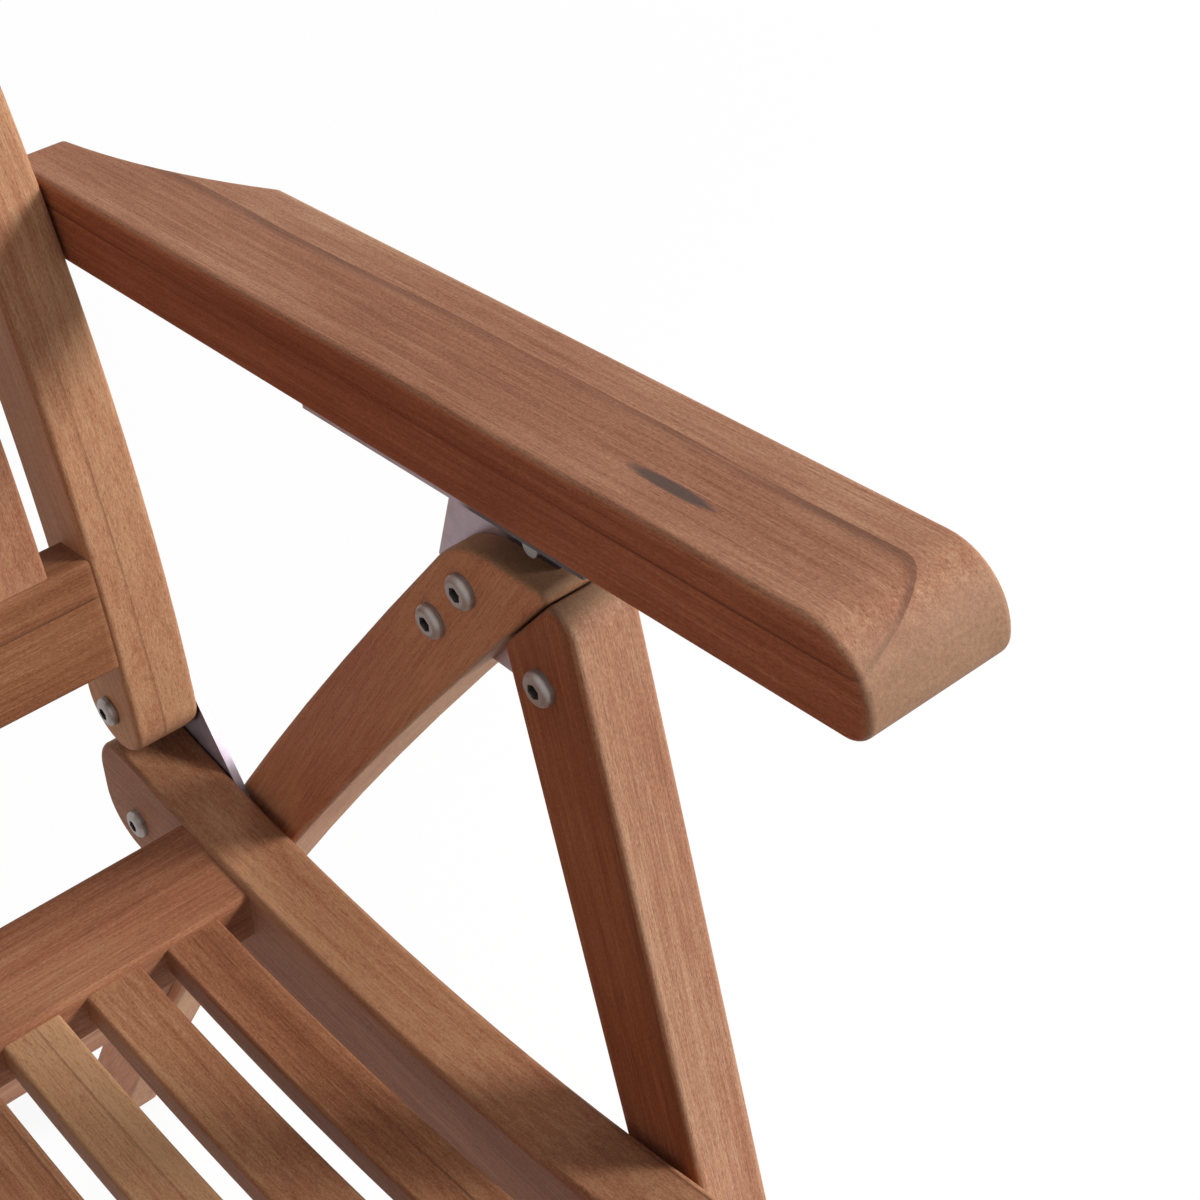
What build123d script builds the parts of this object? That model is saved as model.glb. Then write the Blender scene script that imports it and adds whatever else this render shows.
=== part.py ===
from build123d import *
import os
from math import sin, cos, asin, atan2, radians, degrees

# Slatted wooden armchair whose back reclines, millimetres.
# +X is the sitter's left, -Y is the front, +Z is up, and the floor is Z = 0.

# Seat: slats between two scooped side rails
SEAT_WIDTH = 420.8
SLAT_COUNT = 13
SLAT_WIDTH = 21.4
SLAT_EDGE_GAP = 12.5
SLAT_THICK = 13.0
SLAT_DROP = 4.5
TENON_LENGTH = 8.0
TENON_SHOULDER = 2.5
RAIL_THICK = 26.0
RAIL_HEIGHT = 52.0
SEAT_HEIGHT = 430.0
SCOOP_RADIUS = 750.0
SCOOP_FRONT_RUN = 215.0
CREST_RADIUS = 350.0
CREST_ANGLE = 29.0
RAIL_END_RADIUS = 20.0
CROSS_RAIL_DEPTH = 44.0
CROSS_RAIL_HEIGHT = 22.0
CROSS_RAIL_DROP = 2.0
REAR_RAIL_SETBACK = 58.5
FRONT_RAIL_SETBACK = 6.0

# Hinge of the back, measured from the rail's rear end and top
RAIL_REAR_RUN = 94.0
HINGE_SETBACK = 20.0
HINGE_SEAM = 5.4
SEAT_BOLT_SETBACK = 25.0
SEAT_BOLT_RISE = 20.0
HINGE_PLATE_THICK = 3.0
HINGE_PLATE_MARGIN = 8.2
HINGE_PLATE_TOE = 12.5

# Back: stiles bend from a steep foot to a straight leaning top
STILE_DEPTH = 35.0
STILE_BEND_RADIUS = 600.0
STILE_FOOT_LEAN = 5.0
STILE_TOP_LEAN = 30.0
STILE_STRAIGHT = 366.0
BACK_RAIL_THICK = 22.0
LOWER_RAIL_START = 28.0
LOWER_RAIL_HEIGHT = 44.0
TOP_RAIL_HEIGHT = 62.0
TOP_RAIL_END_GAP = 8.0
BACK_SLAT_COUNT = 7
BACK_SLAT_GAP = 14.5
BACK_SLAT_THICK = 11.0
BACK_SLAT_INSET = 1.5

# Armrests
ARM_WIDTH = 47.0
ARM_THICK = 28.3
ARM_FORWARD = 373.0
ARM_TAIL = 10.5
ARM_PITCH = 8.0
ARM_TAIL_WIDTH = 21.5
ARM_FLARE_LENGTH = 90.0
ARM_FLARE_BOW = 3.8
ARM_NOSE_RADIUS = 19.5
ARM_NOSE_UNDER_RADIUS = 8.0
ARM_PIVOT_RISE = 183.0
ARM_SIDE_GAP = 0.8
RACK_EDGE_INSET = 1.5
RACK_THICK = 1.5
RACK_WEB_DEPTH = 4.0
RACK_WEB_THICK = 2.0
RACK_WEB_GAP = 8.0
RACK_WIDTH = 30.0
RACK_LENGTH = 124.0
RACK_AHEAD = 30.0
NOTCH_COUNT = 5
NOTCH_PITCH = 14.0
NOTCH_RADIUS = 3.4
NOTCH_DEPTH = 3.0
ROD_DIAMETER = 6.0
ROD_LENGTH = 13.0
ROD_REACH = 244.0

# Legs
LEG_THICK = 23.5
REAR_LEG_WIDTH = 30.0
REAR_LEG_TOP_LEAN = 36.2
REAR_LEG_FOOT_LEAN = 24.5
REAR_LEG_BEND_RADIUS = 3950.0
REAR_LEG_TOP_RADIUS = 35.0
REAR_LEG_TOP_DROP = 16.2
FRONT_LEG_WIDTH = 34.5
FRONT_LEG_LEAN = 17.4
FRONT_LEG_TOP_DROP = 20.2
FRONT_LEG_TOP_RADIUS = 9.0
FRONT_LEG_HEEL_RUN = 32.4
LEG_SEAM = 0.6
STRETCHER_THICK = 19.0
STRETCHER_HEIGHT = 58.0
REAR_STRETCHER_RISE = 210.0
FRONT_STRETCHER_RISE = 205.0

# Apex plate in the saw cuts of both legs, and its bolts along the legs
APEX_PLATE_THICK = 2.5
KERF_PLAY = 0.1
APEX_ROD_WALL = 1.8
APEX_CROWN_HALF = 8.5
APEX_SHOULDER_RUN = 29.0
APEX_SHOULDER_OUT = 13.7
APEX_TAIL_RUN = 57.0
APEX_TAIL_OUT = 3.0
APEX_FOOT_RUN = 69.0
APEX_FOOT_AHEAD = 8.7
APEX_TOE = 18.0
APEX_FRONT_MARGIN = 11.0
APEX_MITRE_RUN = 10.4
APEX_MITRE_AHEAD = 12.6
REAR_BOLT_NEAR = 35.3
REAR_BOLT_PITCH = 26.0
REAR_BOLT_BACK = 2.6
FRONT_BOLT_DROP = 8.5
FRONT_BOLT_INSET = 15.0

# Fasteners and fits
BOLT_DIAMETER = 6.0
BOLT_HEAD_DIAMETER = 11.0
BOLT_HEAD_HEIGHT = 3.2
BOLT_HEAD_ROUND = 2.0
BOLT_SOCKET = 4.4
BOLT_SOCKET_DEPTH = 2.2
BOLT_HOLE_PLAY = 0.2
PIVOT_PLAY = 0.06
RUNNING_GAP = 0.3
SCREW_DIAMETER = 4.0
SCREW_LENGTH = 14.0
SCREW_HEAD_DIAMETER = 7.0
SCREW_HEAD_HEIGHT = 1.8
EDGE_ROUND = 2.5
SLAT_ROUND = 1.5

NODES = {}


def lean(degrees_back):
    """Unit step up along a member that leans back by this angle, as (y, z)."""
    return Vector(0, sin(radians(degrees_back)), cos(radians(degrees_back)))


def at(y, z):
    return Vector(0, y, z)


def arc(a, b, c):
    return Edge.make_three_point_arc(a, b, c)


def slab(edges, x_low, x_high):
    """Solid with a closed outline in the side view, between two X values."""
    face = Face(Wire(edges))
    solid = extrude(face, amount=x_high - x_low, dir=(1, 0, 0))
    return Pos(x_low, 0, 0) * solid


def meet(p, along_p, q, along_q):
    """Where two side-view lines cross."""
    cross = along_p.Y * along_q.Z - along_p.Z * along_q.Y
    gap = q - p
    return p + (gap.Y * along_q.Z - gap.Z * along_q.Y) / cross * along_p


def outline(points):
    return [Edge.make_line(a, b) for a, b in zip(points, points[1:] + points[:1])]


def soften(solid, radius=EDGE_ROUND):
    return fillet(solid.edges(), radius)


def drill(point, x_low, x_high, diameter):
    """Round bar along X through a side-view point, used as a hole or a shank."""
    bar = Cylinder(diameter / 2, x_high - x_low, align=(Align.CENTER, Align.CENTER, Align.MIN))
    return Pos(x_low, point.Y, point.Z) * Rot(0, 90, 0) * bar


def bolt(point, x_head, x_tip, diameter=BOLT_DIAMETER):
    """Button-head socket bolt along X whose head sits on x_head and shank ends at x_tip."""
    way = 1 if x_tip > x_head else -1
    head = Cylinder(BOLT_HEAD_DIAMETER / 2, BOLT_HEAD_HEIGHT, align=(Align.CENTER, Align.CENTER, Align.MIN))
    head = fillet(head.edges().sort_by(Axis.Z)[-1], BOLT_HEAD_ROUND)
    flats = RegularPolygon(BOLT_SOCKET / 2, 6, major_radius=False)
    socket = extrude(flats, amount=BOLT_SOCKET_DEPTH)
    head -= Pos(0, 0, BOLT_HEAD_HEIGHT - BOLT_SOCKET_DEPTH) * socket
    head = Pos(x_head, point.Y, point.Z) * Rot(0, -90 * way, 0) * head
    low, high = sorted((x_head, x_tip))
    return head + drill(point, low, high, diameter)


def keep(name, *solids):
    """Stores one solid, or a group of loose ones, under a node name."""
    NODES[name] = Compound([one for solid in solids for one in solid.solids()])


def both_sides(name, *solids):
    keep(name + "_left", *solids)
    keep(name + "_right", *[mirror(solid, about=Plane.YZ) for solid in solids])


# Side planes of the left half
x_rail_in = SEAT_WIDTH / 2
x_rail_out = x_rail_in + RAIL_THICK
x_stile_out = x_rail_out - RUNNING_GAP
x_leg_in = x_rail_out + HINGE_PLATE_THICK
x_leg_out = x_leg_in + LEG_THICK
x_leg_mid = (x_leg_in + x_leg_out) / 2
x_arm_in = x_rail_out + ARM_SIDE_GAP
x_arm_out = x_arm_in + ARM_WIDTH

# Seat profile: scoop arc, then a crest that rolls over the front edge, with its low point at y = 0
scoop_angle = degrees(asin(SCOOP_FRONT_RUN / SCOOP_RADIUS))


def scoop(y, drop=0.0):
    return at(y, SEAT_HEIGHT - drop + SCOOP_RADIUS - (SCOOP_RADIUS ** 2 - y ** 2) ** 0.5)


crest_start = scoop(-SCOOP_FRONT_RUN)


def crest(turn, drop=0.0):
    """Point of the crest after this many degrees of turn from the end of the scoop."""
    a, b = radians(scoop_angle), radians(scoop_angle - turn)
    dy = -CREST_RADIUS * (sin(a) - sin(b))
    dz = -CREST_RADIUS * (cos(a) - cos(b))
    return at(crest_start.Y + dy, crest_start.Z + dz - drop)


def seat_curve(y_rear, drop):
    """Top edges from the rear to the front edge, lowered by drop."""
    y_mid = (y_rear - SCOOP_FRONT_RUN) / 2
    return [
        arc(scoop(y_rear, drop), scoop(y_mid, drop), scoop(-SCOOP_FRONT_RUN, drop)),
        arc(crest(0, drop), crest(CREST_ANGLE / 2, drop), crest(CREST_ANGLE, drop)),
    ]


def seat_band(y_rear, drop, thick, x_low, x_high):
    """Bar that follows the seat profile, with square ends."""
    top = seat_curve(y_rear, drop)
    low = seat_curve(y_rear, drop + thick)
    ends = [Edge.make_line(top[1] @ 1, low[1] @ 1), Edge.make_line(low[0] @ 0, top[0] @ 0)]
    return slab(top + [ends[0]] + low + [ends[1]], x_low, x_high)


y_rail_rear = RAIL_REAR_RUN
y_seat_front = crest(CREST_ANGLE).Y
hinge = at(y_rail_rear - HINGE_SETBACK, 0)
hinge = at(hinge.Y, scoop(hinge.Y).Z + HINGE_SEAM + STILE_DEPTH / 2)
seat_bolt = scoop(y_rail_rear - SEAT_BOLT_SETBACK, RAIL_HEIGHT - SEAT_BOLT_RISE)

# Back profile along the stile: the bend starts at the hinge
bend_centre = hinge + STILE_BEND_RADIUS * at(cos(radians(STILE_FOOT_LEAN)), -sin(radians(STILE_FOOT_LEAN)))
bend_length = STILE_BEND_RADIUS * radians(STILE_TOP_LEAN - STILE_FOOT_LEAN)


def stile_lean(run):
    """Lean in degrees at this run up the stile."""
    return STILE_FOOT_LEAN + degrees(min(run, bend_length) / STILE_BEND_RADIUS)


def stile_point(run, behind=0.0):
    """Side-view point at this run up from the hinge, this far behind the middle line."""
    angle = radians(stile_lean(run))
    normal = at(cos(angle), -sin(angle))
    point = bend_centre - (STILE_BEND_RADIUS - behind) * normal
    return point + max(run - bend_length, 0) * lean(STILE_TOP_LEAN)


def stile_run(start, stop, behind):
    """Edges along the stile between two runs, at an offset from the middle line."""
    if stop <= bend_length:
        middle = (start + stop) / 2
        return [arc(stile_point(start, behind), stile_point(middle, behind), stile_point(stop, behind))]
    if start >= bend_length:
        return [Edge.make_line(stile_point(start, behind), stile_point(stop, behind))]
    middle = (start + bend_length) / 2
    knee = stile_point(bend_length, behind)
    return [
        arc(stile_point(start, behind), stile_point(middle, behind), knee),
        Edge.make_line(knee, stile_point(stop, behind)),
    ]


def back_band(start, stop, front, behind, x_low, x_high):
    """Bar along the stile between two runs and two offsets from its middle line."""
    ahead_edges = stile_run(start, stop, front)
    rear_edges = stile_run(start, stop, behind)
    foot = Edge.make_line(stile_point(start, front), stile_point(start, behind))
    head = Edge.make_line(stile_point(stop, front), stile_point(stop, behind))
    return slab(ahead_edges + [head] + rear_edges + [foot], x_low, x_high)


stile_length = bend_length + STILE_STRAIGHT
arm_pivot = stile_point(ARM_PIVOT_RISE)

# Arm frame: forward along the arm and up from it
arm_ahead = at(-cos(radians(ARM_PITCH)), sin(radians(ARM_PITCH)))
arm_up = at(sin(radians(ARM_PITCH)), cos(radians(ARM_PITCH)))


def on_arm(ahead, up):
    return arm_pivot + ahead * arm_ahead + up * arm_up


rack_drop = ARM_THICK / 2 + RACK_THICK + RACK_WEB_DEPTH
rod = on_arm(ROD_REACH, -(rack_drop + RUNNING_GAP + ROD_DIAMETER / 2))

# Rear leg: a slow bend from the rod to the floor
top_normal = at(-cos(radians(REAR_LEG_TOP_LEAN)), -sin(radians(REAR_LEG_TOP_LEAN)))
rear_centre = rod + REAR_LEG_BEND_RADIUS * top_normal


def rear_leg_point(angle, ahead=0.0):
    """Point of the rear leg where it leans by this angle, this far ahead of its axis."""
    normal = at(-cos(radians(angle)), -sin(radians(angle)))
    return rear_centre - (REAR_LEG_BEND_RADIUS - ahead) * normal


def rear_leg_at(run, ahead=0.0):
    return rear_leg_point(REAR_LEG_TOP_LEAN - degrees(run / REAR_LEG_BEND_RADIUS), ahead)


def rear_leg_at_height(z, ahead=0.0):
    angle = degrees(asin((z - rear_centre.Z) / (REAR_LEG_BEND_RADIUS - ahead)))
    return rear_leg_point(angle, ahead)


# Front leg: its rear edge starts where it meets the rear leg's front edge
front_down = at(-sin(radians(FRONT_LEG_LEAN)), -cos(radians(FRONT_LEG_LEAN)))
front_normal = at(-cos(radians(FRONT_LEG_LEAN)), sin(radians(FRONT_LEG_LEAN)))
seam_ahead = REAR_LEG_WIDTH / 2 + LEG_SEAM
front_heel = rear_leg_at(FRONT_LEG_HEEL_RUN, seam_ahead)
front_axis = front_heel + FRONT_LEG_WIDTH / 2 * front_normal


def front_leg_point(z, ahead=0.0):
    """Point of the front leg's axis at a height, moved ahead across the leg."""
    run = (front_axis.Z - z) / cos(radians(FRONT_LEG_LEAN))
    return front_axis + run * front_down + ahead * front_normal


front_bolt = front_heel + FRONT_BOLT_DROP * front_down + FRONT_BOLT_INSET * front_normal
rear_bolts = [rear_leg_at(REAR_BOLT_NEAR + i * REAR_BOLT_PITCH, -REAR_BOLT_BACK) for i in range(2)]
leg_seat_bolt = rear_leg_at_height(seat_bolt.Z)
front_seat_bolt = front_leg_point(scoop(front_leg_point(SEAT_HEIGHT).Y, RAIL_HEIGHT / 2).Z)


def floor_cut(solid):
    """Cuts a leg off flat at the floor."""
    size = 4 * SEAT_HEIGHT
    return solid - Pos(0, 0, -size / 2) * Box(size, size, size)


def make_seat():
    rail = seat_band(y_rail_rear, 0, RAIL_HEIGHT, x_rail_in, x_rail_out)
    ends = rail.edges().filter_by(Axis.X)
    rear = ends.sort_by(Axis.Y)[-2:]
    rail = fillet(rear, RAIL_END_RADIUS)
    front = rail.edges().filter_by(Axis.X).sort_by(Axis.Y)[:2]
    rail = fillet(front, RAIL_END_RADIUS / 2)
    rail = soften(rail)
    hole = BOLT_DIAMETER + 2 * BOLT_HOLE_PLAY
    for point in (seat_bolt, leg_seat_bolt, front_seat_bolt):
        rail -= drill(point, x_rail_in, x_rail_out, hole)

    y_rear = y_rail_rear - REAR_RAIL_SETBACK
    y_front = y_seat_front + FRONT_RAIL_SETBACK
    spans = {
        "seat_rear_rail": (y_rear - CROSS_RAIL_DEPTH, y_rear),
        "seat_front_rail": (y_front, y_front + CROSS_RAIL_DEPTH),
    }
    stock = seat_band(y_rail_rear, CROSS_RAIL_DROP, CROSS_RAIL_HEIGHT, -x_rail_in, x_rail_in)
    cross = {}
    deep = 2 * SEAT_HEIGHT
    for name, (low, high) in spans.items():
        window = Pos(0, (low + high) / 2, SEAT_HEIGHT) * Box(2 * x_rail_in, high - low, deep)
        bar = stock & window
        along = bar.edges().filter_by(Axis.X)
        cross[name] = fillet(along, EDGE_ROUND)

    y_low = spans["seat_front_rail"][1]
    y_high = spans["seat_rear_rail"][0]
    length = y_high - y_low
    pitch = (SEAT_WIDTH - 2 * SLAT_EDGE_GAP - SLAT_WIDTH) / (SLAT_COUNT - 1)
    window = Pos(0, (y_low + y_high) / 2, SEAT_HEIGHT) * Box(2 * x_rail_in, length, deep)
    reach = Pos(0, (y_low + y_high) / 2, SEAT_HEIGHT) * Box(2 * x_rail_in, length + 2 * TENON_LENGTH, deep)
    for i in range(SLAT_COUNT):
        x = (i - (SLAT_COUNT - 1) / 2) * pitch
        half = SLAT_WIDTH / 2
        slat = seat_band(y_rail_rear, SLAT_DROP, SLAT_THICK, x - half, x + half) & window
        long_edges = slat.edges().filter_by(lambda e: abs((e @ 1 - e @ 0).Y) > length / 2)
        slat = fillet(long_edges, SLAT_ROUND)
        inner = half - TENON_SHOULDER
        drop = SLAT_DROP + TENON_SHOULDER
        thick = SLAT_THICK - 2 * TENON_SHOULDER
        tenons = (seat_band(y_rail_rear, drop, thick, x - inner, x + inner) & reach) - window
        for name in cross:
            cross[name] -= tenons
        keep(f"seat_slat_{i + 1:02d}", slat + tenons)

    both_sides("seat_rail", rail)
    for name, bar in cross.items():
        keep(name, bar)


def make_hinge_plates():
    """Plate between seat rail and rear leg that carries the back's pivot."""
    margin = HINGE_PLATE_MARGIN
    corners = [
        hinge + at(-margin, margin),
        hinge + at(margin, margin),
        seat_bolt + at(margin, -margin),
        leg_seat_bolt + at(-HINGE_PLATE_TOE, -margin),
        leg_seat_bolt + at(-HINGE_PLATE_TOE, margin),
    ]
    plate = slab(outline(corners), x_rail_out, x_leg_in)
    plate = fillet(plate.edges().filter_by(Axis.X), margin / 2)
    hole = BOLT_DIAMETER + 2 * BOLT_HOLE_PLAY
    plate -= drill(hinge, x_rail_out, x_leg_in, BOLT_DIAMETER)
    for point in (seat_bolt, leg_seat_bolt):
        plate -= drill(point, x_rail_out, x_leg_in, hole)
    both_sides("hinge_plate", plate)


def make_back():
    half = STILE_DEPTH / 2
    foot = arc(stile_point(0, half), hinge - half * lean(STILE_FOOT_LEAN), stile_point(0, -half))
    head = Edge.make_line(stile_point(stile_length, -half), stile_point(stile_length, half))
    edges = stile_run(0, stile_length, -half) + [head] + stile_run(0, stile_length, half) + [foot]
    stile = slab(edges, x_rail_in, x_stile_out)
    corners = stile.edges().filter_by(Axis.X).group_by(Axis.Z)[-2:]
    stile = fillet([e for group in corners for e in group], half / 2)
    stile = soften(stile)
    stile -= drill(hinge, x_rail_in, x_stile_out, BOLT_DIAMETER + 2 * PIVOT_PLAY)
    stile -= drill(arm_pivot, x_rail_in, x_stile_out, BOLT_DIAMETER)
    both_sides("back_stile", stile)

    front = -half
    behind = front + BACK_RAIL_THICK
    low_top = LOWER_RAIL_START + LOWER_RAIL_HEIGHT
    top_end = stile_length - TOP_RAIL_END_GAP
    top_start = top_end - TOP_RAIL_HEIGHT
    rails = {
        "back_lower_rail": back_band(LOWER_RAIL_START, low_top, front, behind, -x_rail_in, x_rail_in),
        "back_top_rail": back_band(top_start, top_end, front, behind, -x_rail_in, x_rail_in),
    }
    for name, bar in rails.items():
        rails[name] = fillet(bar.edges().filter_by(Axis.X), EDGE_ROUND)

    width = (2 * x_rail_in - (BACK_SLAT_COUNT + 1) * BACK_SLAT_GAP) / BACK_SLAT_COUNT
    face = front + BACK_SLAT_INSET
    rear = face + BACK_SLAT_THICK
    for i in range(BACK_SLAT_COUNT):
        x = (i - (BACK_SLAT_COUNT - 1) / 2) * (width + BACK_SLAT_GAP)
        x_low, x_high = x - width / 2, x + width / 2
        slat = back_band(low_top, top_start, face, rear, x_low, x_high)
        long_edges = slat.edges().filter_by(lambda e: e.length > LOWER_RAIL_HEIGHT)
        long_edges = long_edges.filter_by(lambda e: abs((e @ 1 - e @ 0).X) < SLAT_ROUND)
        slat = fillet(long_edges, SLAT_ROUND)
        inset = TENON_SHOULDER
        for start, stop in ((low_top - TENON_LENGTH, low_top), (top_start, top_start + TENON_LENGTH)):
            tenon = back_band(start, stop, face + inset, rear - inset, x_low + inset, x_high - inset)
            slat += tenon
            for name in rails:
                rails[name] -= tenon
        keep(f"back_slat_{i + 1:02d}", slat)
    for name, bar in rails.items():
        keep(name, bar)


def make_arms():
    half = ARM_THICK / 2
    tail, nose = on_arm(-ARM_TAIL, 0), on_arm(ARM_FORWARD, 0)
    side = outline([tail - half * arm_up, nose - half * arm_up, nose + half * arm_up, tail + half * arm_up])
    arm = slab(side, x_arm_in, x_arm_out)
    arm = fillet(arm.edges().filter_by(Axis.X).sort_by(Axis.Y)[0], ARM_NOSE_UNDER_RADIUS)
    nose_top = arm.edges().filter_by(Axis.X).sort_by(Axis.Z)[-1]
    arm = fillet(nose_top, ARM_NOSE_RADIUS)

    # The flare narrows the outer side towards the tail
    def plan(ahead, x):
        return on_arm(ahead, -ARM_THICK) + Vector(x, 0, 0)

    flare_start = ARM_FLARE_LENGTH - ARM_TAIL
    wide = plan(flare_start, x_arm_out)
    narrow = plan(-ARM_TAIL, x_arm_in + ARM_TAIL_WIDTH)
    bow = (wide + narrow) / 2 - Vector(ARM_FLARE_BOW, 0, 0)
    x_clear = x_arm_out + ARM_WIDTH
    rim = [narrow, plan(-ARM_TAIL, x_clear), plan(flare_start, x_clear), wide]
    flare = [arc(wide, bow, narrow)] + [Edge.make_line(p, q) for p, q in zip(rim, rim[1:])]
    arm -= extrude(Face(Wire(flare)), amount=2 * ARM_THICK, dir=arm_up)
    arm = soften(arm)
    arm -= drill(arm_pivot, x_arm_in, x_arm_in + ARM_TAIL_WIDTH / 2, BOLT_DIAMETER + 2 * PIVOT_PLAY)

    # Notched rack under the arm: a flange with two webs that straddle the apex plate
    rack_front = ROD_REACH + RACK_AHEAD
    rack_rear = rack_front - RACK_LENGTH

    def arm_bar(ahead_low, ahead_high, up_low, up_high, x_low, x_high):
        corners = [
            on_arm(ahead_low, up_low),
            on_arm(ahead_high, up_low),
            on_arm(ahead_high, up_high),
            on_arm(ahead_low, up_high),
        ]
        return slab(outline(corners), x_low, x_high)

    under = -half
    flange_low = under - RACK_THICK
    web_low = flange_low - RACK_WEB_DEPTH
    x_flange = x_arm_in + RACK_EDGE_INSET
    rack = arm_bar(rack_rear, rack_front, flange_low, under, x_flange, x_flange + RACK_WIDTH)
    for side_sign in (-1, 1):
        x_mid = x_leg_mid + side_sign * (RACK_WEB_GAP + RACK_WEB_THICK) / 2
        x_low = x_mid - RACK_WEB_THICK / 2
        rack += arm_bar(rack_rear, rack_front, web_low, flange_low, x_low, x_low + RACK_WEB_THICK)
    x_flange_out = x_flange + RACK_WIDTH
    for i in range(NOTCH_COUNT):
        centre = on_arm(ROD_REACH - i * NOTCH_PITCH, web_low + NOTCH_DEPTH - NOTCH_RADIUS)
        rack -= drill(centre, x_flange, x_flange_out, 2 * NOTCH_RADIUS)

    # Screws stand outside the webs, one at each end of the flange
    screw = Cylinder(SCREW_DIAMETER / 2, SCREW_LENGTH, align=(Align.CENTER, Align.CENTER, Align.MIN))
    below = (Align.CENTER, Align.CENTER, Align.MAX)
    low_cap = Cylinder(SCREW_HEAD_DIAMETER / 2, SCREW_HEAD_HEIGHT, align=below)
    screws = []
    hole = Cylinder(SCREW_DIAMETER / 2, 2 * SCREW_LENGTH)
    tilt = Rot(-ARM_PITCH, 0, 0)
    web_out = RACK_WEB_GAP / 2 + RACK_WEB_THICK
    x_screw = (x_flange_out + x_leg_mid + web_out) / 2
    for ahead in (rack_rear + SCREW_HEAD_DIAMETER, rack_front - SCREW_HEAD_DIAMETER):
        foot = on_arm(ahead, flange_low)
        place = Pos(x_screw, foot.Y, foot.Z) * tilt
        screws.append(place * (screw + low_cap))
        rack -= place * hole
        arm -= place * hole & place * screw
    both_sides("arm", arm)
    both_sides("arm_rack", rack)
    both_sides("rack_screws", *screws)


def make_legs():
    half = REAR_LEG_WIDTH / 2
    top = REAR_LEG_TOP_LEAN + degrees(REAR_LEG_WIDTH / REAR_LEG_BEND_RADIUS)
    foot = REAR_LEG_FOOT_LEAN - degrees(REAR_LEG_WIDTH / REAR_LEG_BEND_RADIUS)
    mid = (top + foot) / 2
    front_edge = arc(rear_leg_point(top, half), rear_leg_point(mid, half), rear_leg_point(foot, half))
    rear_edge = arc(rear_leg_point(top, -half), rear_leg_point(mid, -half), rear_leg_point(foot, -half))
    head = Edge.make_line(rear_leg_point(top, half), rear_leg_point(top, -half))
    toe = Edge.make_line(rear_leg_point(foot, half), rear_leg_point(foot, -half))
    rear = slab([front_edge, toe, rear_edge, head], x_leg_in, x_leg_out)
    top = on_arm(ROD_REACH, -ARM_THICK / 2 - REAR_LEG_TOP_DROP)
    lid = Pos(0, 0, SEAT_HEIGHT / 2) * Box(4 * LEG_THICK, SEAT_HEIGHT, SEAT_HEIGHT)
    rear = floor_cut(rear - Pos(x_leg_mid, top.Y, top.Z) * Rot(-ARM_PITCH, 0, 0) * lid)
    crown = rear.edges().filter_by(Axis.X).sort_by(Axis.Z)[-2]
    rear = soften(fillet(crown, REAR_LEG_TOP_RADIUS))

    # The front leg's top is mitred to close on the rear leg
    half = FRONT_LEG_WIDTH / 2
    top = on_arm(ROD_REACH, -ARM_THICK / 2 - FRONT_LEG_TOP_DROP)
    tip = meet(top, arm_ahead, front_heel, rear_leg_at(0, seam_ahead) - front_heel)
    crown = meet(top, arm_ahead, front_leg_point(0, half), front_down)
    sole = [front_leg_point(-FRONT_LEG_WIDTH, -half), front_leg_point(-FRONT_LEG_WIDTH, half)]
    front = floor_cut(slab(outline([tip, front_heel] + sole + [crown]), x_leg_in, x_leg_out))
    brow = front.edges().filter_by(Axis.X).sort_by_distance(crown + Vector(x_leg_mid, 0, 0))[0]
    front = soften(fillet(brow, FRONT_LEG_TOP_RADIUS))

    # Apex plate in a saw cut through both leg tops
    rise = (ROD_DIAMETER / 2 + APEX_ROD_WALL) * arm_up
    behind = REAR_LEG_WIDTH / 2
    corners = [
        rod + APEX_CROWN_HALF * arm_ahead + rise,
        rod - APEX_CROWN_HALF * arm_ahead + rise,
        rear_leg_at(APEX_SHOULDER_RUN, -behind - APEX_SHOULDER_OUT),
        rear_leg_at(APEX_TAIL_RUN, -behind - APEX_TAIL_OUT),
        rear_leg_at(APEX_FOOT_RUN, APEX_FOOT_AHEAD),
        front_bolt + APEX_TOE * front_down,
        front_bolt + APEX_FRONT_MARGIN * front_normal,
        rear_leg_at(APEX_MITRE_RUN, APEX_MITRE_AHEAD),
    ]
    thick = APEX_PLATE_THICK / 2
    plate = slab(outline(corners), x_leg_mid - thick, x_leg_mid + thick)
    kerf = slab(outline(corners), x_leg_mid - thick - KERF_PLAY, x_leg_mid + thick + KERF_PLAY)
    hole = BOLT_DIAMETER + 2 * BOLT_HOLE_PLAY
    rear -= kerf
    front -= kerf
    for point in rear_bolts:
        rear -= drill(point, x_leg_in, x_leg_out, hole)
        plate -= drill(point, x_leg_in, x_leg_out, hole)
    front -= drill(front_bolt, x_leg_in, x_leg_out, hole)
    plate -= drill(front_bolt, x_leg_in, x_leg_out, hole)
    plate -= drill(rod, x_leg_in, x_leg_out, ROD_DIAMETER)
    rear -= drill(leg_seat_bolt, x_leg_in, x_leg_out, hole)
    front -= drill(front_seat_bolt, x_leg_in, x_leg_out, hole)
    both_sides("rear_leg", rear)
    both_sides("front_leg", front)
    both_sides("apex_plate", plate)
    both_sides("rest_rod", drill(rod, x_leg_mid - ROD_LENGTH / 2, x_leg_mid + ROD_LENGTH / 2, ROD_DIAMETER))


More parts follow.
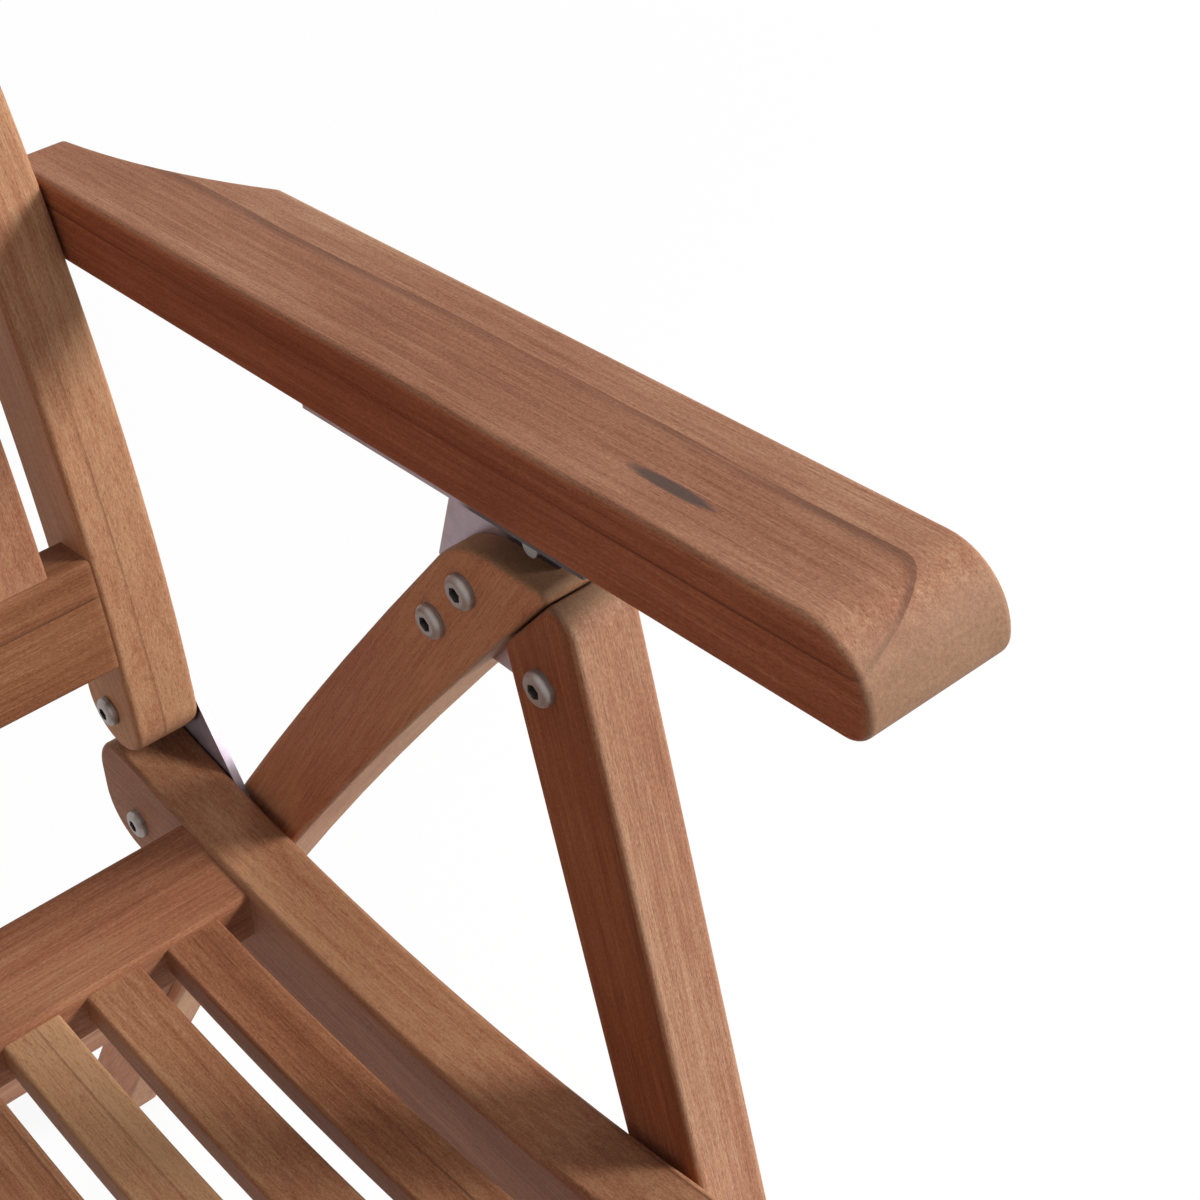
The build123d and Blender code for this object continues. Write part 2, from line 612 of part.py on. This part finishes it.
def make_stretchers():
    """Cross bars between the two rear legs and the two front legs."""
    long = 2 * x_leg_in
    centre = rear_leg_at_height(REAR_STRETCHER_RISE)
    slope = degrees(atan2(rear_leg_at_height(0).Y - centre.Y, REAR_STRETCHER_RISE))
    bar = soften(Box(long, STRETCHER_THICK, STRETCHER_HEIGHT))
    keep("rear_stretcher", Pos(0, centre.Y, centre.Z) * Rot(slope, 0, 0) * bar)
    centre = front_leg_point(FRONT_STRETCHER_RISE)
    keep("front_stretcher", Pos(0, centre.Y, centre.Z) * Rot(-FRONT_LEG_LEAN, 0, 0) * bar)


def make_fasteners():
    apex = [bolt(p, x_leg_in, x_leg_out) for p in rear_bolts + [front_bolt]]
    both_sides("apex_bolts", *apex)
    seat = [bolt(p, x_rail_in, x_leg_out) for p in (leg_seat_bolt, front_seat_bolt)]
    seat.append(bolt(seat_bolt, x_rail_in, x_leg_in))
    both_sides("seat_bolts", *seat)
    pivot = bolt(hinge, x_rail_in - RUNNING_GAP, x_leg_in)
    both_sides("back_pivot_bolt", pivot)
    arm_bolt = bolt(arm_pivot, x_rail_in, x_arm_in + ARM_TAIL_WIDTH / 2 - RUNNING_GAP)
    both_sides("arm_pivot_bolt", arm_bolt)
    ring = drill(front_seat_bolt, x_rail_out, x_leg_in, 2 * BOLT_DIAMETER)
    ring -= drill(front_seat_bolt, x_rail_out, x_leg_in, BOLT_DIAMETER + 2 * BOLT_HOLE_PLAY)
    both_sides("leg_spacer", ring)


make_seat()
make_hinge_plates()
make_back()
make_arms()
make_legs()
make_stretchers()
make_fasteners()

# The origin is on the floor, under the middle of the whole chair
whole = Compound([one for node in NODES.values() for one in node.solids()]).bounding_box()
y_middle = (whole.min.Y + whole.max.Y) / 2
os.makedirs("parts", exist_ok=True)
for node_name, node_solid in NODES.items():
    export_step(Pos(0, -y_middle, 0) * node_solid, f"parts/{node_name}.step")
marks = {"hinge": hinge, "arm pivot": arm_pivot, "rod": rod, "rear foot": rear_leg_at_height(0)}
for label, point in marks.items():
    print(f"{label}: y {point.Y - y_middle:.3f} z {point.Z:.3f}")
print(f"size {whole.size.X:.1f} x {whole.size.Y:.1f} x {whole.size.Z:.1f}, {len(NODES)} nodes")
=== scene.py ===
import bpy
import math
import random
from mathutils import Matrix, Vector

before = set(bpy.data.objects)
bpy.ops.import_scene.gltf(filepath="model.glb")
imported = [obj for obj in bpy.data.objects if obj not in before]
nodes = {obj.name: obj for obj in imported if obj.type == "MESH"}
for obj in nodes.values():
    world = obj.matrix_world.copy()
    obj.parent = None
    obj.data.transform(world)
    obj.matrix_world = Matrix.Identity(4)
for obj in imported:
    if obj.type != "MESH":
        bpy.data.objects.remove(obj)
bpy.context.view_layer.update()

# Camera, in metres and degrees
EYE = (-0.0249, -0.44901, 1.01761)
LOOK_DOWN = 41.88
LOOK_RIGHT = 40.56
LENS_MM = 66.6
SENSOR_MM = 36.0
NEAR_LIMIT = 0.01

# Lights: place and diameter in metres, power in watts
LIT_POINT = (0.0, 0.0, 0.6)
KEY_LIGHT = ((2.4, -1.8, 2.0), 1.0, 138.0)
TOP_LIGHT = ((0.9, 0.3, 2.8), 1.6, 20.0)
SKY_STRENGTH = 0.36

# Floor: half its side, and the distances from its middle over which it turns to plain white, metres
FLOOR_HALF = 6.0
FLOOR_FADE = (0.9, 2.0)
# Share of plain white near the chair; the rest is a matt grey that takes the shadow
FLOOR_WHITE = 0.90
FLOOR_GREY = (0.80, 0.80, 0.80)

# Colours, linear
WHITE = (1.0, 1.0, 1.0)
WOOD_PALE = (0.430, 0.225, 0.118)
WOOD_MID = (0.290, 0.113, 0.056)
WOOD_DARK = (0.165, 0.050, 0.022)
WOOD_LINE = (0.085, 0.034, 0.020)
WOOD_STAIN = (0.060, 0.042, 0.037)
WOOD_END = (0.285, 0.168, 0.100)
PLATE_COLOUR = (0.62, 0.55, 0.63)
BOLT_COLOUR = (0.41, 0.36, 0.34)
# The rod's colour is dark as painted shade, for the shaded gap under the arm that it sits in
ROD_COLOUR = (0.30, 0.28, 0.27)
# Colour of the painted shade on the steel, in its corners and by the rods
PAINTED_SHADE_COLOUR = (0.030, 0.022, 0.018)

# Direction across the chair
SIDEWAYS = (1.0, 0.0, 0.0)

# Noise: its middle value, and how far each piece's noise is shifted at most along each axis, metres
NOISE_MIDDLE = 0.5
NOISE_SHIFT = 3.0

# Layers of the wood's tone: cycles per metre across, along and through the grain,
# then octaves, roughness, warp and share
LAYERS = {
    "cloud": ((24.0, 7.0, 24.0), 3.0, 0.60, 0.0, 0.60),
    "streak": ((260.0, 5.0, 260.0), 4.0, 0.65, 0.2, 0.55),
    "fibre": ((1300.0, 36.0, 1300.0), 4.0, 0.70, 0.0, 0.75),
    "fleck": ((2800.0, 800.0, 2800.0), 3.0, 0.70, 0.0, 0.90),
}
# Brings the sum of the layers into the range of the ramp
TONE_SHIFT = -0.815
TONE_RAMP = [(0.16, WOOD_DARK), (0.50, WOOD_MID), (0.88, WOOD_PALE)]

# Growth rings: distance and wave in metres, cycles of the wave per metre, and how a ring darkens
RING_SPACING = 0.032
RING_WAVE = 0.005
RING_WAVE_CYCLES = (11.0, 3.0, 11.0)
RING_CURVE = 3.0
RING_DARKENING = 0.10
# Dark line of a ring: the shares of the ring over which it sets in, the share that is laid on a chosen
# point, the limits of the clouds that let the line show, and the share of its colour
RING_LINE = (0.962, 0.985)
RING_LINE_AT = 0.965
RING_LINE_PATCHES = (0.34, 0.60)
RING_LINE_SHARE = 0.62

# Short dark pores and long pale lines: cycles per metre, limits of the noise, share of their colour
PORE_CYCLES = (2600.0, 240.0, 2600.0)
PORE_LIMITS = (0.57, 0.68)
PORE_SHARE = 0.32
PALE_LINE_CYCLES = (1000.0, 9.0, 1000.0)
PALE_LINE_LIMITS = (0.63, 0.74)
PALE_LINE_SHARE = 0.22
# Octaves and roughness of both
FINE_NOISE = (2.0, 0.5)

# Outward part of a face's normal where the tint of the inner faces, a painted side light and shade, sets
# in, and where it is full
SIDE_LIGHT_TURNED_IN = (-0.55, -0.90)

# Dark marks: where their edge fades, how ragged it is, share of their colour
STAIN_EDGE = (1.15, 0.45)
STAIN_RAGGED = 1.6
STAIN_SHARE = 0.88

# Cut ends: how far a face looks along the grain, then the grit's cycles per metre, octaves and
# roughness, and its colours
END_FACING = (0.50, 0.92)
END_GRIT = ((900.0, 900.0, 900.0), 3.0, 0.7)
END_DULL = 0.62
END_RAMP = [(0.30, tuple(END_DULL * c for c in WOOD_END)), (0.68, WOOD_END)]
END_SHARE = 0.70

# Worn edges, paler partly from wear and partly as a painted highlight on the rounded edges: reach in
# metres, dot product of the rounded and the plain normal, the limits of the clouds that let them show, and
# the share of their colour
WEAR_AND_HIGHLIGHT_REACH = 0.004
WEAR_AND_HIGHLIGHT_BEND = (0.995, 0.90)
WEAR_AND_HIGHLIGHT_PATCHES = (0.30, 0.65)
WEAR_AND_HIGHLIGHT_SHARE = 0.30

# Finish of the wood: lowest roughness and its spread, gloss, and the relief of the fibres in metres
WOOD_SMOOTHEST = 0.50
WOOD_ROUGH_SPREAD = 0.20
WOOD_SPECULAR = 0.10
WOOD_BUMP = {"Strength": 0.25, "Distance": 0.0004}
# Depth of the pores against the height of the fibres
PORE_DEPTH = 0.8

# Steel: rolling marks and blotches as cycles per metre, octaves and roughness, with their shares
BRUSH = ((2500.0, 160.0, 2500.0), 3.0, 0.6)
BRUSH_SHARE = 0.35
BLOTCH = ((160.0, 160.0, 160.0), 4.0, 0.65)
BLOTCH_SHARE = 0.65
STEEL_RAMP = (0.34, 0.66)
STEEL_DULL = 0.72
STEEL_METALLIC = 0.85
STEEL_SMOOTHEST = 0.38
ROD_SMOOTHEST = 0.20
STEEL_ROUGH_SPREAD = 0.25
STEEL_BUMP = {"Strength": 0.12, "Distance": 0.0002}

# Painted shade in the steel's corners: reach of the corners that it darkens, in metres, and how open they
# are where it sets in and where it is full
SHADED_CORNER_REACH = 0.005
SHADED_CORNER_OPENNESS = (0.62, 0.30)
PAINTED_SHADE_SHARE = 0.85
# Middle of the painted shade by the rods, where the arm and the leg tops shade the plate, and the distances
# over which it fades out, metres
ROD_SHADE_CENTRE = (0.0, -0.120, 0.647)
ROD_SHADE_FADE = (0.0370, 0.0310)

# Steel pieces, and those among them that take the painted shade by the rods, by the start of their names
STEEL_PIECES = ("apex_plate", "rest_rod", "hinge_plate", "apex_bolts", "seat_bolts", "leg_spacer",
                "back_pivot_bolt", "arm_pivot_bolt", "arm_rack", "rack_screws")
ROD_SHADED_PIECES = ("arm_rack", "apex_plate")

# Grain direction of each kind of wooden piece, by the start of its name
ARM_RISE = math.radians(8.0)
GRAIN = {
    "arm": (0.0, -math.cos(ARM_RISE), math.sin(ARM_RISE)),
    "rear_leg": (0.0, 0.50, -0.86),
    "front_leg": (0.0, 0.30, 0.95),
    "rear_stretcher": SIDEWAYS,
    "front_stretcher": SIDEWAYS,
    "seat_rail": (0.0, 1.0, -0.08),
    "seat_slat": (0.0, 1.0, -0.08),
    "seat_rear_rail": SIDEWAYS,
    "seat_front_rail": SIDEWAYS,
    "back_stile": (0.0, 0.38, 0.92),
    "back_slat": (0.0, 0.40, 0.92),
    "back_lower_rail": SIDEWAYS,
    "back_top_rail": SIDEWAYS,
}
# How fast the rings pass across the width and through the thickness; other kinds take the usual tilt
RINGS = {
    "arm": (0.30, 1.0),
    "back_slat": (1.0, 0.06),
    "back_stile": (1.0, 0.05),
    "seat_slat": (1.0, 0.10),
    "rear_leg": (1.0, 0.10),
    "front_leg": (1.0, 0.25),
    "seat_rail": (1.0, 0.10),
}
USUAL_RINGS = (0.35, 1.0)
# Tones seen in the photo; the other pieces take a random one within the spread
TONES = {
    "arm": -0.09,
    # The lower back rail's tone is darkened as painted shade, for the shadow that falls on it
    "back_lower_rail": -0.18,
    "back_slat": 0.12,
    "back_stile": 0.15,
    "front_leg": 0.04,
    "rear_leg": 0.10,
    "seat_rail": 0.08,
    "seat_rear_rail": -0.11,
    "seat_slat_13": -0.15,
    "seat_slat_12": 0.02,
    "seat_slat_11": 0.25,
    "seat_slat_10": -0.04,
}
TONE_SPREAD = 0.10
TONE_SEED = 11
# Factors on the colour of the faces turned out, then of those turned to the middle; their difference is
# painted light and shade by side, with the arms' inner faces redder as in shade
TINTS_AND_SIDE_LIGHT = {
    "arm": ((0.95, 1.10, 1.28), (1.15, 0.90, 0.82)),
    "front_leg": ((1.02, 1.20, 1.40), (1.04, 0.84, 0.75)),
    "rear_leg": ((1.0, 1.10, 1.15), (1.40, 1.30, 1.32)),
    "back_stile": ((1.0, 1.08, 1.12), (1.40, 1.38, 1.36)),
    "back_slat": ((0.87, 0.87, 0.93), (1.0, 1.0, 1.05)),
    "back_lower_rail": ((0.78, 0.82, 0.77), (0.78, 0.82, 0.77)),
    "seat_rail": ((0.87, 0.89, 0.90), (1.0, 0.95, 1.05)),
    "seat_rear_rail": ((0.88, 0.88, 0.90), (0.88, 0.88, 0.90)),
    "seat_slat": ((0.96, 1.05, 1.05), (1.0, 1.05, 1.05)),
}
USUAL_TINTS_AND_SIDE_LIGHT = ((1.0, 1.03, 1.05), (1.0, 1.0, 1.05))
# Dark marks as centre, half length and half width, and points that a ring line runs through, metres
STAINS = {"arm_left": [((0.2521, -0.1507, 0.6880), 0.0165, 0.0021)]}
RING_LINES = {"arm_left": (0.2655, -0.1480, 0.6880)}


def opaque(colour):
    return (*colour, 1.0)


class Graph:
    """Small helper that adds shader nodes to one node tree."""

    def __init__(self, tree):
        self.tree = tree
        self.tree.nodes.clear()

    def add(self, kind, inputs=None, **settings):
        node = self.tree.nodes.new(kind)
        for key, value in settings.items():
            setattr(node, key, value)
        for key, value in (inputs or {}).items():
            self.put(node, key, value)
        return node

    def put(self, node, key, value):
        socket = node.inputs[key]
        if isinstance(value, bpy.types.NodeSocket):
            self.tree.links.new(value, socket)
        else:
            socket.default_value = value

    def math(self, operation, a, b=0.0):
        return self.add("ShaderNodeMath", {0: a, 1: b}, operation=operation).outputs[0]

    def vector(self, operation, a, b=(0.0, 0.0, 0.0), output="Vector"):
        return self.add("ShaderNodeVectorMath", {0: a, 1: b}, operation=operation).outputs[output]

    def part(self, vector, axis):
        """How far a vector reaches along an axis."""
        return self.vector("DOT_PRODUCT", vector, tuple(axis), "Value")

    def noise(self, vector, cycles, octaves=3.0, rough=0.55, warp=0.0):
        return self.add("ShaderNodeTexNoise", {
            "Vector": self.vector("MULTIPLY", vector, cycles),
            "Scale": 1.0,
            "Detail": octaves,
            "Roughness": rough,
            "Distortion": warp,
        }).outputs["Fac"]

    def ramp(self, value, stops):
        node = self.add("ShaderNodeValToRGB", {"Fac": value})
        elements = node.color_ramp.elements
        while len(elements) < len(stops):
            elements.new(0.5)
        for element, (place, colour) in zip(elements, stops):
            element.position = place
            element.color = opaque(colour)
        return node.outputs["Color"]

    def mask(self, value, none, full):
        """0 at the first limit and 1 at the second one, held beyond them."""
        inputs = {"Value": value, "From Min": none, "From Max": full}
        return self.add("ShaderNodeMapRange", inputs, clamp=True).outputs["Result"]

    def mix(self, factor, a, b, blend="MIX"):
        node = self.add("ShaderNodeMix", data_type="RGBA", blend_type=blend)
        self.put(node, 0, factor)
        self.put(node, 6, a)
        self.put(node, 7, b)
        return node.outputs[2]

    def cover(self, colour, mask, share, other):
        """Lays a share of another colour over this one where the mask is."""
        return self.mix(self.math("MULTIPLY", mask, share), colour, opaque(other))

    def seen(self):
        """1 for rays that look: from the camera, mirrored, or through glass."""
        ray = self.add("ShaderNodeLightPath").outputs
        looking = self.math("MAXIMUM", ray["Is Camera Ray"], ray["Is Glossy Ray"])
        return self.math("MAXIMUM", looking, ray["Is Transmission Ray"])

    def finish(self, inputs):
        shader = self.add("ShaderNodeBsdfPrincipled", inputs)
        self.add("ShaderNodeOutputMaterial", {"Surface": shader.outputs["BSDF"]})


def new_material(name):
    material = bpy.data.materials.new(name)
    material.use_nodes = True
    return material, Graph(material.node_tree)


def random_shift(rng):
    return tuple(rng.uniform(-NOISE_SHIFT, NOISE_SHIFT) for _ in range(3))


def grain_axes(along):
    """Directions across the grain, along it and through the piece."""
    length = Vector(along).normalized()
    aside = Vector((0.0, 1.0, 0.0)) if along == SIDEWAYS else Vector(SIDEWAYS)
    width = (aside - length * aside.dot(length)).normalized()
    return width, length, width.cross(length)


def ring_turn(g, local, across, depth, rings, start):
    """Place within a growth ring, 0 to 1: tilted sheets, wide apart, with slow waves along the length."""
    wave = g.math("SUBTRACT", g.noise(local, RING_WAVE_CYCLES), NOISE_MIDDLE)
    sheet = g.math("ADD", g.math("MULTIPLY", across, rings[0]), g.math("MULTIPLY", depth, rings[1]))
    sheet = g.math("ADD", sheet, g.math("MULTIPLY", wave, RING_WAVE))
    return g.math("FRACT", g.math("DIVIDE", g.math("ADD", sheet, start), RING_SPACING))


def stained(g, colour, place, axes, streak, stains):
    """Colour with long dark marks whose edges follow the streaks."""
    for centre, half_length, half_width in stains:
        offset = g.vector("SUBTRACT", place, centre)
        run = g.math("DIVIDE", g.part(offset, axes[1]), half_length)
        side = g.math("DIVIDE", g.part(offset, axes[0]), half_width)
        reach = g.math("ADD", g.math("MULTIPLY", run, run), g.math("MULTIPLY", side, side))
        ragged = g.math("MULTIPLY", g.math("SUBTRACT", streak, NOISE_MIDDLE), STAIN_RAGGED)
        spot = g.mask(g.math("ADD", reach, ragged), *STAIN_EDGE)
        colour = g.cover(colour, spot, STAIN_SHARE, WOOD_STAIN)
    return colour


def with_cut_ends(g, colour, local, facing):
    """Colour that is duller and gritty where a face looks along the grain."""
    end = g.mask(g.math("ABSOLUTE", facing), *END_FACING)
    grit = g.ramp(g.noise(local, *END_GRIT), END_RAMP)
    return g.mix(g.math("MULTIPLY", end, END_SHARE), colour, grit)


def with_worn_and_highlit_edges(g, colour, cloud):
    """Colour that is a little paler along the edges, in patches: partly wear, partly a painted highlight.
    """
    rounded = g.add("ShaderNodeBevel", {"Radius": WEAR_AND_HIGHLIGHT_REACH}, samples=4).outputs["Normal"]
    plain = g.add("ShaderNodeNewGeometry").outputs["True Normal"]
    bend = g.vector("DOT_PRODUCT", rounded, plain, "Value")
    worn_and_highlit = g.math("MULTIPLY", g.mask(bend, *WEAR_AND_HIGHLIGHT_BEND), g.mask(cloud, *WEAR_AND_HIGHLIGHT_PATCHES))
    return g.cover(colour, worn_and_highlit, WEAR_AND_HIGHLIGHT_SHARE, WOOD_PALE)


def wood(name, along, seed, tone, rings, tints_and_side_light, stains=(), line_at=None):
    """Oiled hardwood whose grain runs along a direction.

    rings weighs how fast the growth rings pass across the width and through the thickness,
    and line_at is a point that a dark ring line runs through.
    The tint factors act on the faces turned out and on the faces turned to the middle; their difference is
    painted light and shade by side. stains lists dark marks as (centre, half length, half width), in
    metres.
    """
    material, g = new_material(name)
    rng = random.Random(seed)
    axes = grain_axes(along)
    coords = g.add("ShaderNodeTexCoord").outputs
    place, normal = coords["Object"], coords["Normal"]
    across, length, depth = (g.part(place, axis) for axis in axes)
    joined = g.add("ShaderNodeCombineXYZ", {"X": across, "Y": length, "Z": depth}).outputs["Vector"]
    local = g.vector("ADD", joined, random_shift(rng))

    start = rng.uniform(0.0, RING_SPACING)
    if line_at:
        spot = Vector(line_at)
        start = RING_LINE_AT * RING_SPACING - rings[0] * spot.dot(axes[0]) - rings[1] * spot.dot(axes[2])
    turn = ring_turn(g, local, across, depth, rings, start)

    # Tone: each ring darkens towards its line, and the layers run along the grain
    layers = {}
    blend = g.math("MULTIPLY", g.math("POWER", turn, RING_CURVE), -RING_DARKENING)
    for layer, (cycles, octaves, rough, warp, share) in LAYERS.items():
        layers[layer] = g.noise(local, cycles, octaves, rough, warp)
        blend = g.math("ADD", blend, g.math("MULTIPLY", layers[layer], share))
    colour = g.ramp(g.math("ADD", blend, tone + TONE_SHIFT), TONE_RAMP)

    # Ring lines, pores and pale lines
    line = g.math("MULTIPLY", g.mask(turn, *RING_LINE), g.mask(layers["cloud"], *RING_LINE_PATCHES))
    pores = g.mask(g.noise(local, PORE_CYCLES, *FINE_NOISE), *PORE_LIMITS)
    pale_lines = g.mask(g.noise(local, PALE_LINE_CYCLES, *FINE_NOISE), *PALE_LINE_LIMITS)
    colour = g.cover(colour, line, RING_LINE_SHARE, WOOD_LINE)
    colour = g.cover(colour, pores, PORE_SHARE, WOOD_LINE)
    colour = g.cover(colour, pale_lines, PALE_LINE_SHARE, WOOD_PALE)

    # Painted light and shade by side: faces turned to the middle take their own colour factors
    outward = g.math("MULTIPLY", g.math("SIGN", g.part(place, SIDEWAYS)), g.part(normal, SIDEWAYS))
    tint = g.mix(g.mask(outward, *SIDE_LIGHT_TURNED_IN), opaque(tints_and_side_light[0]), opaque(tints_and_side_light[1]))
    colour = g.mix(1.0, colour, tint, "MULTIPLY")
    colour = stained(g, colour, place, axes, layers["streak"], stains)
    colour = with_cut_ends(g, colour, local, g.part(normal, axes[1]))
    colour = with_worn_and_highlit_edges(g, colour, layers["cloud"])

    height = g.math("SUBTRACT", layers["fibre"], g.math("MULTIPLY", pores, PORE_DEPTH))
    bump = g.add("ShaderNodeBump", {**WOOD_BUMP, "Height": height})
    g.finish({
        "Base Color": colour,
        "Roughness": g.math("ADD", g.math("MULTIPLY", layers["streak"], WOOD_ROUGH_SPREAD), WOOD_SMOOTHEST),
        "Normal": bump.outputs["Normal"],
        "Specular IOR Level": WOOD_SPECULAR,
    })
    return material


def steel(name, seed, colour, smoothest=STEEL_SMOOTHEST, rod_shaded=False):
    """Matt zinc-coated steel with faint rolling marks and small blotches, darkened in its corners as
    painted shade; with the last argument set, it also gets a patch of painted shade by the rods.
    """
    material, g = new_material(name)
    place = g.add("ShaderNodeTexCoord").outputs["Object"]
    local = g.vector("ADD", place, random_shift(random.Random(seed)))
    brushed = g.noise(local, *BRUSH)
    blotch = g.noise(local, *BLOTCH)
    blend = g.math("MULTIPLY", brushed, BRUSH_SHARE)
    blend = g.math("ADD", blend, g.math("MULTIPLY", blotch, BLOTCH_SHARE))
    dull = tuple(STEEL_DULL * c for c in colour)
    tint = g.ramp(blend, list(zip(STEEL_RAMP, (dull, colour))))
    # Painted shade: corners and recesses darken by their ambient occlusion
    openness = g.add("ShaderNodeAmbientOcclusion", {"Distance": SHADED_CORNER_REACH}, samples=8).outputs["AO"]
    painted_shade = g.mask(openness, *SHADED_CORNER_OPENNESS)
    # Painted shade by the rods: a darkening that fades with the distance from a line across the chair
    if rod_shaded:
        side_view = g.vector("MULTIPLY", place, (0.0, 1.0, 1.0))
        reach = g.vector("DISTANCE", side_view, ROD_SHADE_CENTRE, "Value")
        painted_shade = g.math("MAXIMUM", painted_shade, g.mask(reach, *ROD_SHADE_FADE))
    bump = g.add("ShaderNodeBump", {**STEEL_BUMP, "Height": brushed})
    g.finish({
        "Base Color": g.cover(tint, painted_shade, PAINTED_SHADE_SHARE, PAINTED_SHADE_COLOUR),
        "Metallic": STEEL_METALLIC,
        "Roughness": g.math("ADD", g.math("MULTIPLY", blotch, STEEL_ROUGH_SPREAD), smoothest),
        "Normal": bump.outputs["Normal"],
    })
    return material


def steel_for(name, seed):
    if name.startswith("rest_rod"):
        return steel("steel_" + name, seed, ROD_COLOUR, ROD_SMOOTHEST)
    coat = BOLT_COLOUR if "bolt" in name else PLATE_COLOUR
    return steel("steel_" + name, seed, coat, rod_shaded=name.startswith(ROD_SHADED_PIECES))


def wood_for(name, seed, random_tone):
    kind = max((k for k in GRAIN if name.startswith(k)), key=len)
    tone = TONES.get(name, TONES.get(kind, random_tone))
    rings = RINGS.get(kind, USUAL_RINGS)
    tints_and_side_light = TINTS_AND_SIDE_LIGHT.get(kind, USUAL_TINTS_AND_SIDE_LIGHT)
    if name.endswith("_right"):
        tints_and_side_light = (tints_and_side_light[0], tints_and_side_light[0])
    stains = STAINS.get(name, ())
    return wood("wood_" + name, GRAIN[kind], seed, tone, rings, tints_and_side_light, stains, RING_LINES.get(name))


def dress(name, material):
    if not nodes[name].material_slots:
        nodes[name].data.materials.append(material)
    for slot in nodes[name].material_slots:
        slot.link = "OBJECT"
        slot.material = material


def dress_all():
    rolls = random.Random(TONE_SEED)
    for seed, name in enumerate(sorted(nodes)):
        if name.startswith(STEEL_PIECES):
            dress(name, steel_for(name, seed))
        else:
            dress(name, wood_for(name, seed, rolls.uniform(-TONE_SPREAD, TONE_SPREAD)))


def floor():
    """Pale floor that looks white to the camera and keeps a faint shadow near the chair."""
    half = FLOOR_HALF
    mesh = bpy.data.meshes.new("floor")
    corners = [(-half, -half, 0), (half, -half, 0), (half, half, 0), (-half, half, 0)]
    mesh.from_pydata(corners, [], [(0, 1, 2, 3)])
    plane = bpy.data.objects.new("floor", mesh)
    bpy.context.scene.collection.objects.link(plane)
    material, g = new_material("floor_paint")
    matt = g.add("ShaderNodeBsdfDiffuse", {"Color": opaque(FLOOR_GREY)})
    glow = g.add("ShaderNodeEmission", {"Color": opaque(WHITE), "Strength": 1.0})
    away = g.vector("LENGTH", g.add("ShaderNodeTexCoord").outputs["Object"], output="Value")
    fade = g.math("MULTIPLY", g.mask(away, *FLOOR_FADE), 1.0 - FLOOR_WHITE)
    share = g.math("MULTIPLY", g.seen(), g.math("ADD", FLOOR_WHITE, fade))
    both = g.add("ShaderNodeMixShader", {0: share, 1: matt.outputs[0], 2: glow.outputs[0]})
    g.add("ShaderNodeOutputMaterial", {"Surface": both.outputs[0]})
    mesh.materials.append(material)


def area_light(name, place, size, power):
    data = bpy.data.lights.new(name, "AREA")
    data.energy = power
    data.shape = "DISK"
    data.size = size
    lamp = bpy.data.objects.new(name, data)
    lamp.location = place
    lamp.rotation_euler = (Vector(LIT_POINT) - Vector(place)).to_track_quat("-Z", "Y").to_euler()
    bpy.context.scene.collection.objects.link(lamp)


def studio():
    """White surroundings that light the chair weakly, a key light from its left front and one above."""
    scene = bpy.context.scene
    world = bpy.data.worlds.new("studio")
    scene.world = world
    world.use_nodes = True
    g = Graph(world.node_tree)
    sky = g.add("ShaderNodeBackground", {"Color": opaque(WHITE), "Strength": SKY_STRENGTH})
    white = g.add("ShaderNodeBackground", {"Color": opaque(WHITE), "Strength": 1.0})
    both = g.add("ShaderNodeMixShader", {0: g.seen(), 1: sky.outputs[0], 2: white.outputs[0]})
    g.add("ShaderNodeOutputWorld", {"Surface": both.outputs[0]})
    scene.view_settings.view_transform = "Standard"
    area_light("key", *KEY_LIGHT)
    area_light("top", *TOP_LIGHT)


def camera():
    data = bpy.data.cameras.new("photo_view")
    data.lens = LENS_MM
    data.sensor_width = SENSOR_MM
    data.clip_start = NEAR_LIMIT
    rig = bpy.data.objects.new("photo_view", data)
    rig.location = EYE
    rig.rotation_euler = (math.radians(90.0 - LOOK_DOWN), 0.0, math.radians(-LOOK_RIGHT))
    bpy.context.scene.collection.objects.link(rig)
    bpy.context.scene.camera = rig


dress_all()
floor()
studio()
camera()
